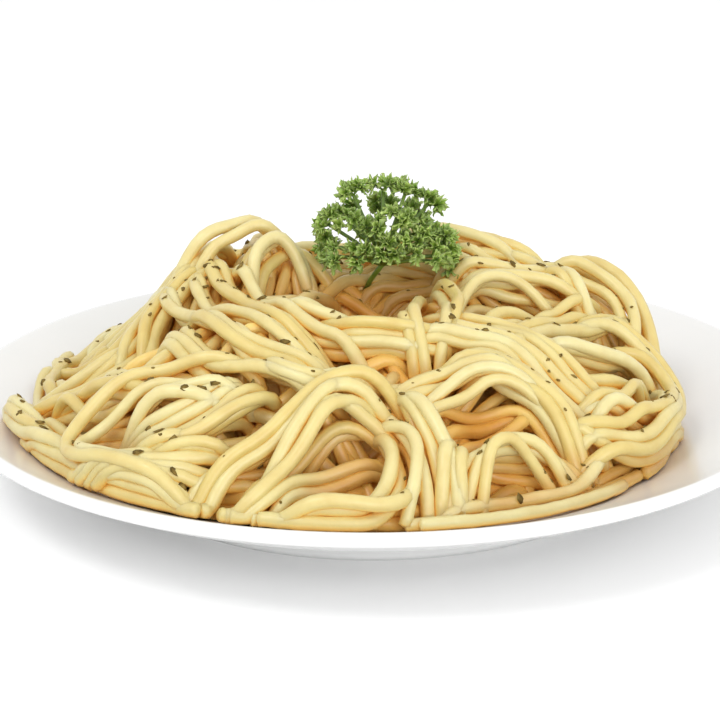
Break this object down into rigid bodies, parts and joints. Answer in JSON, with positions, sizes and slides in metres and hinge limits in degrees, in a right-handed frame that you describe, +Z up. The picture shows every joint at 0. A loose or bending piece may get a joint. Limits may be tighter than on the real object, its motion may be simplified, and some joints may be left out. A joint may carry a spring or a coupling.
{
  "type": "plate of spaghetti",
  "caption": "Round white plate with a tangled heap of creamy, herb-flecked spaghetti and a sprig of curly parsley on top.",
  "frame": {"origin": "centre of the plate's foot ring, on the surface that it stands on", "axes": "+Z up, -Y towards the side seen in the picture, +X to the right of that view"},
  "size_m": [0.22, 0.22, 0.08],
  "materials": {
    "porcelain": "glossy white glazed porcelain",
    "pasta": "moist pale yellow pasta in a thin cream sauce with dark dried herb flecks",
    "herb": "fresh green frilled leaf"
  },
  "bodies": {
    "root": {"plate": "porcelain", "spaghetti": "pasta", "parsley": "herb"}
  },
  "joints": []
}
